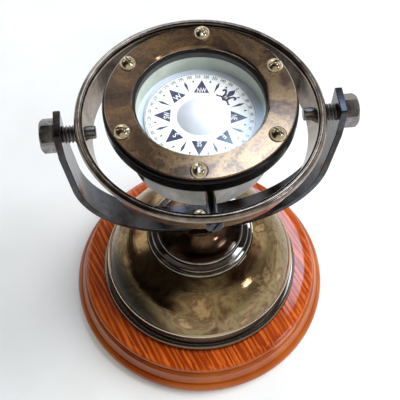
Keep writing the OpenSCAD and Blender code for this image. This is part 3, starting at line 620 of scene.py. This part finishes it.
cardPrint = {"north": 37, "ink": 0.03, "triangleLow": 13.4, "triangleHigh": 20.9, "triangleWide": 7.1,
             "dartLow": 14.2, "dartHigh": 21.2, "dartWide": 1.35, "dartShift": 0.18,
             "speckLow": 19.7, "speckHigh": 21.2, "speckWide": 1.1,
             "innerTick": (21.45, 22.05), "innerCount": 144, "outerTick": (23.75, 24.3), "outerCount": 180,
             "tickWide": 0.14, "lineAt": 24.55, "lineRadius": 0.12, "lineFlat": 0.4, "lineLift": 0.02,
             "numberLow": 22.15, "numberSize": 2.1, "numberSqueeze": 0.8, "numberBold": 0.035,
             "letterLow": 13.65, "letterSize": 3.8, "letterSqueeze": 0.9, "pairSqueeze": 0.62,
             "bold": 0.05, "northLow": 14.95, "northSize": 2.4}


def spread(piece, copies, step):
    # Copies round the card's centre, clockwise, each a step of degrees further on
    bpy.ops.object.mode_set(mode="EDIT")
    bpy.ops.mesh.select_all(action="SELECT")
    bpy.ops.mesh.spin(steps=copies, dupli=True, angle=math.radians(copies * step), center=(0, 0, 0),
                      axis=(0, 0, 1))
    bpy.ops.object.mode_set(mode="OBJECT")


def thicken(piece, ink):
    bpy.ops.object.mode_set(mode="EDIT")
    bpy.ops.mesh.select_all(action="SELECT")
    bpy.ops.mesh.extrude_region_move(TRANSFORM_OT_translate={"value": (0, 0, ink * mm)})
    bpy.ops.mesh.select_all(action="SELECT")
    bpy.ops.mesh.normals_make_consistent(inside=False)
    bpy.ops.object.mode_set(mode="OBJECT")


def turnToBearing(piece, bearing):
    piece.data.transform(Matrix.Rotation(math.radians(-bearing), 4, "Z"))


def layOnCard(piece, material, lift=0.0):
    clearSelection()
    north = Matrix.Rotation(math.radians(cardPrint["north"] - 90), 4, "Z")
    piece.data.transform(Matrix.Translation((0, 0, (cardTop + lift) * mm)) @ north)
    settle(piece, "card", material)


def pointer(name, corners, low, high, wide, ink, shift):
    # A flat triangle or diamond that points outwards along +Y. In a circle of radius 1 a triangle is 1.5 high
    # and starts 0.5 below the centre, a diamond is 2 high and starts 1 below it
    tall = (high - low) / (1.5 if corners == 3 else 2.0)
    broad = wide / (2 * math.cos(math.radians(30)) if corners == 3 else 2.0)
    middle = low + (0.5 if corners == 3 else 1.0) * tall
    piece = startPiece("circle", name, vertices=corners, radius=1, fill_type="NGON",
                       location=(0, middle * mm, 0), scale=(broad * mm, tall * mm, 1))
    if shift:
        # Widest nearer its outer end
        pick(piece, lambda v: abs(v.co.x) > near * mm, "VERT")
        bpy.ops.transform.translate(value=(0, shift * (high - low) * mm, 0))
        bpy.ops.object.mode_set(mode="OBJECT")
    thicken(piece, ink)
    return piece


def writeOnCard(words, size, low, bearing, squeeze, ink, bold):
    clearSelection()
    bpy.ops.object.text_add(location=(0, 0, 0))
    curve = bpy.context.object.data
    curve.body = words
    curve.size = size * mm
    curve.align_x = "CENTER"
    curve.extrude = ink / 2 * mm
    curve.offset = bold * mm
    curve.resolution_u = 3
    bpy.ops.object.convert(target="MESH")
    piece = bpy.context.object
    toBearing = Matrix.Rotation(math.radians(-bearing), 4, "Z")
    outward = Matrix.Translation((0, low * mm, ink / 2 * mm))
    piece.data.transform(toBearing @ outward @ Matrix.Diagonal((squeeze, 1, 1, 1)))
    return piece


def makeCardPrint(s):
    # Name, corners, settings, shift of the widest part, first bearing, copies and the step between them
    pointers = [("cardTriangles", 3, "triangle", 0, 45, 6, 45),
                ("cardDarts", 4, "dart", s["dartShift"], 22.5, 7, 45),
                ("cardSpecks", 3, "speck", 0, 11.25, 15, 22.5)]
    for name, corners, kind, shift, bearing, copies, step in pointers:
        piece = pointer(name, corners, s[kind + "Low"], s[kind + "High"], s[kind + "Wide"], s["ink"], shift)
        turnToBearing(piece, bearing)
        spread(piece, copies, step)
        layOnCard(piece, navyInk)
    for name, (low, high), count in (("innerTicks", s["innerTick"], s["innerCount"]),
                                     ("outerTicks", s["outerTick"], s["outerCount"])):
        ticks = startPiece("plane", name, size=1, location=(0, (low + high) / 2 * mm, 0),
                           scale=(s["tickWide"] * mm, (high - low) * mm, 1))
        thicken(ticks, s["ink"])
        spread(ticks, count - 1, 360 / count)
        layOnCard(ticks, greyInk)
    edgeLine = startPiece("torus", "edgeLine", major_radius=s["lineAt"] * mm,
                          minor_radius=s["lineRadius"] * mm, major_segments=128, minor_segments=8)
    edgeLine.data.transform(Matrix.Diagonal((1, 1, s["lineFlat"], 1)))
    closeUp(edgeLine)
    layOnCard(edgeLine, greyInk, s["lineLift"])
    numbers = joinPieces(*[writeOnCard(str(bearing), s["numberSize"], s["numberLow"], bearing,
                                       s["numberSqueeze"], s["ink"], s["numberBold"])
                           for bearing in range(0, 360, 10)])
    numbers.name = "cardNumbers"
    layOnCard(numbers, greyInk)
    words = ["NE", "E", "SE", "S", "SW", "W", "NW"]
    letters = joinPieces(*[writeOnCard(word, s["letterSize"], s["letterLow"], 45 * (i + 1),
                                       s["pairSqueeze"] if len(word) > 1 else s["letterSqueeze"],
                                       s["ink"], s["bold"])
                           for i, word in enumerate(words)])
    letters.name = "cardLetters"
    layOnCard(letters, whiteInk, s["ink"])


def makeLily(s):
    # The north mark: a plain heraldic lily, half drawn and mirrored, with the N on its middle
    halves = {
        "petal": [(0, 21.9), (0.55, 20.9), (1.25, 19.7), (1.35, 18.8), (0.95, 17.9), (0.6, 17.1),
                  (0.75, 16.4), (0, 16.4)],
        "leaf": [(0.5, 16.4), (1.2, 17.3), (2.1, 18.6), (3.1, 19.2), (3.9, 18.8), (4.2, 18.0), (3.9, 17.2),
                 (3.3, 17.1), (3.2, 17.7), (2.7, 17.9), (2.2, 17.2), (1.9, 16.3), (1.2, 15.9)],
        "body": [(0, 17.2), (1.3, 17.0), (1.9, 16.2), (1.9, 15.4), (1.3, 14.7), (0, 14.4)],
        "foot": [(0, 15.0), (1.2, 15.2), (2.3, 14.9), (3.3, 14.2), (4.2, 14.1), (4.3, 13.5), (3.5, 13.3),
                 (2.6, 13.8), (1.6, 14.2), (0.7, 13.9), (0, 13.2)],
    }
    parts = []
    for name, outline in halves.items():
        for side in (1, -1):
            mesh = bpy.data.meshes.new(name)
            corners = [(side * x * mm, y * mm, 0) for x, y in outline]
            mesh.from_pydata(corners, [], [list(range(len(corners)))])
            part = bpy.data.objects.new(name, mesh)
            bpy.context.scene.collection.objects.link(part)
            selectOnly(part)
            thicken(part, s["ink"])
            parts.append(part)
    lily = joinPieces(*parts)
    lily.name = "northLily"
    layOnCard(lily, navyInk)
    letter = writeOnCard("N", s["northSize"], s["northLow"], 0, s["letterSqueeze"], s["ink"], s["bold"] / 2)
    letter.name = "northLetter"
    layOnCard(letter, whiteInk, s["ink"])


makeCardPrint(cardPrint)
makeLily(cardPrint)
print("card printed")


# Floor, lights and camera

# A patch of the room lies toward a direction, and fades out between its inner and outer angle
studio = {"floor": 5.0, "floorGlow": 0.15, "floorClouds": 90,
          "soft": {"watts": 23, "size": (1.1, 1.1), "place": (0.95, 0.03, 1.2), "aim": (0, 0, 0.08)},
          "panes": {"watts": 0.3, "size": (0.04, 0.1), "places": [(0.67, -0.46, 0.66), (0.71, -0.39, 0.66)],
                    "aim": (0.02, -0.03, 0.05)},
          "bright": (0.8, 0.6, 0.0), "skirting": {"colour": "#e9e9e8", "from": 0.1, "to": 0.24},
          "leftToRight": [(0.0, "#37322f"), (0.35, "#605b58"), (0.65, "#b1afae"), (1.0, "#f2f1ef")],
          "lowToHigh": [(0.0, "#ffffff"), (0.3, "#e3e1df"), (0.7, "#a8a29d"), (1.0, "#8a847f")],
          "patches": [
              {"toward": (0.02, 0.33, 0.94), "inner": 7, "outer": 17, "colour": (0.1, 0.09, 0.09, 1)},
              {"toward": (0.1, -0.88, 0.42), "inner": 16, "outer": 48, "colour": (0.74, 0.7, 0.6, 1)},
              {"toward": (-0.62, 0.5, 0.6), "inner": 4, "outer": 16, "colour": (1.3, 1.2, 1.1, 1)},
              {"toward": (0.74, 0.32, 0.58), "inner": 6, "outer": 18, "colour": (1.1, 1.05, 1.0, 1)},
              {"toward": (-0.12, 0.9, 0.42), "inner": 9, "outer": 21, "colour": (2.3, 2.3, 2.3, 1)},
              {"toward": (-0.12, 0.66, 0.74), "inner": 4, "outer": 11, "colour": (0.66, 0.64, 0.6, 1)},
              {"toward": (0.48, -0.05, 0.875), "inner": 3, "outer": 7, "colour": (4.5, 4.7, 5.2, 1)},
              {"toward": (0.17, 0.49, 0.855), "inner": 4.5, "outer": 8.7, "colour": (5.2, 6.6, 8.6, 1)}]}

photoCamera = {"place": (-23.1, -202.9, 426.9), "aim": (0, 0, 91.1), "roll": 0.34, "lens": 67.5,
               "sensor": 36.0, "clip": (0.01, 20)}


def makeFloor(s):
    # Pale stone, matt, with faint grey clouds; it glows a little for the camera and in reflections
    floor = startPiece("plane", "floor", size=s["floor"], location=(0, 0, 0))
    material, tree, shader, place = newMaterial("paleFloor", Roughness=0.9)
    stone = addNode(tree, "TexNoise", {"Scale": 1 / s["floorClouds"], "Detail": 3}, {"Vector": place})
    tint = addNode(tree, "ValToRGB", {"stops": [(0.35, "#dde1e2"), (0.65, "#e9ecee")]}, {0: stone.outputs[0]})
    tree.links.new(tint.outputs[0], shader.inputs["Base Color"])
    path = addNode(tree, "LightPath")
    seen = addNode(tree, "Math", {"operation": "MAXIMUM"},
                   {0: path.outputs["Is Camera Ray"], 1: path.outputs["Is Glossy Ray"]})
    seenThrough = addNode(tree, "Math", {"operation": "MAXIMUM"},
                          {0: seen.outputs[0], 1: path.outputs["Is Transmission Ray"]})
    glow = addNode(tree, "Math", {"operation": "MULTIPLY", 1: s["floorGlow"]}, {0: seenThrough.outputs[0]})
    tree.links.new(glow.outputs[0], shader.inputs["Emission Strength"])
    shader.inputs["Emission Color"].default_value = linear("#ffffff")
    floor.data.materials.append(material)


def addLight(name, watts, size, place, aim):
    data = bpy.data.lights.new(name, "AREA")
    data.shape = "RECTANGLE"
    data.size, data.size_y = size
    data.energy = watts
    light = bpy.data.objects.new(name, data)
    bpy.context.scene.collection.objects.link(light)
    light.location = place
    light.rotation_mode = "QUATERNION"
    light.rotation_quaternion = (Vector(aim) - light.location).to_track_quat("-Z", "Y")
    return light


def makeLights(s):
    soft, panes = s["soft"], s["panes"]
    fill = addLight("softLight", soft["watts"], soft["size"], soft["place"], soft["aim"])
    fill.visible_glossy = False  # the metal mirrors the room, not the lamp
    for i, place in enumerate(panes["places"]):
        addLight(f"windowPane{i + 1}", panes["watts"], panes["size"], place, panes["aim"])
    # The room: pale towards the right and the back, dim to the left and overhead. Most patches are lighter
    # than the wall behind them; the first is dark, where the lacquer of the wood's top mirrors it
    world = bpy.data.worlds.new("studioRoom")
    bpy.context.scene.world = world
    world.use_nodes = True
    tree = world.node_tree
    here = addNode(tree, "TexCoord").outputs["Generated"]
    side = addNode(tree, "VectorMath", {"operation": "DOT_PRODUCT", 1: s["bright"]}, {0: here})
    sideway = addNode(tree, "MapRange", {"From Min": -1.0}, {"Value": side.outputs["Value"]})
    across = addNode(tree, "ValToRGB", {"stops": s["leftToRight"]}, {0: sideway.outputs[0]})
    axes = addNode(tree, "SeparateXYZ", None, {0: here})
    upward = addNode(tree, "ValToRGB", {"stops": s["lowToHigh"]}, {0: axes.outputs[2]})
    walls = addNode(tree, "Mix", {"data_type": "RGBA", "blend_type": "MULTIPLY", 0: 1.0},
                    {6: across.outputs[0], 7: upward.outputs[0]})
    # Pale all round near the floor, so that the background is pale from any side
    skirting = s["skirting"]
    rise = addNode(tree, "MapRange", {"interpolation_type": "SMOOTHSTEP", "From Min": skirting["from"],
                                      "From Max": skirting["to"]}, {"Value": axes.outputs[2]})
    room = addNode(tree, "Mix", {"data_type": "RGBA", 6: linear(skirting["colour"])},
                   {0: rise.outputs[0], 7: walls.outputs[2]})
    for patch in s["patches"]:
        middle = Vector(patch["toward"]).normalized()
        toward = addNode(tree, "VectorMath", {"operation": "DOT_PRODUCT", 1: middle}, {0: here})
        edge = addNode(tree, "MapRange", {"interpolation_type": "SMOOTHSTEP",
                                          "From Min": math.cos(math.radians(patch["outer"])),
                                          "From Max": math.cos(math.radians(patch["inner"]))},
                       {"Value": toward.outputs["Value"]})
        room = addNode(tree, "Mix", {"data_type": "RGBA", 7: patch["colour"]},
                       {0: edge.outputs[0], 6: room.outputs[2]})
    tree.links.new(room.outputs[2], tree.nodes["Background"].inputs["Color"])


def makeCamera(s):
    data = bpy.data.cameras.new("photoCamera")
    data.lens, data.sensor_width = s["lens"], s["sensor"]
    data.clip_start, data.clip_end = s["clip"]
    camera = bpy.data.objects.new("photoCamera", data)
    bpy.context.scene.collection.objects.link(camera)
    camera.location = Vector(s["place"]) * mm
    aim = Vector(s["aim"]) * mm - camera.location
    roll = Matrix.Rotation(math.radians(s["roll"]), 3, "Z").to_quaternion()
    camera.rotation_mode = "QUATERNION"
    camera.rotation_quaternion = aim.to_track_quat("-Z", "Y") @ roll
    bpy.context.scene.camera = camera


makeFloor(studio)
makeLights(studio)
makeCamera(photoCamera)
bpy.context.scene.view_settings.view_transform = "Standard"
print("floor, lights and camera made")
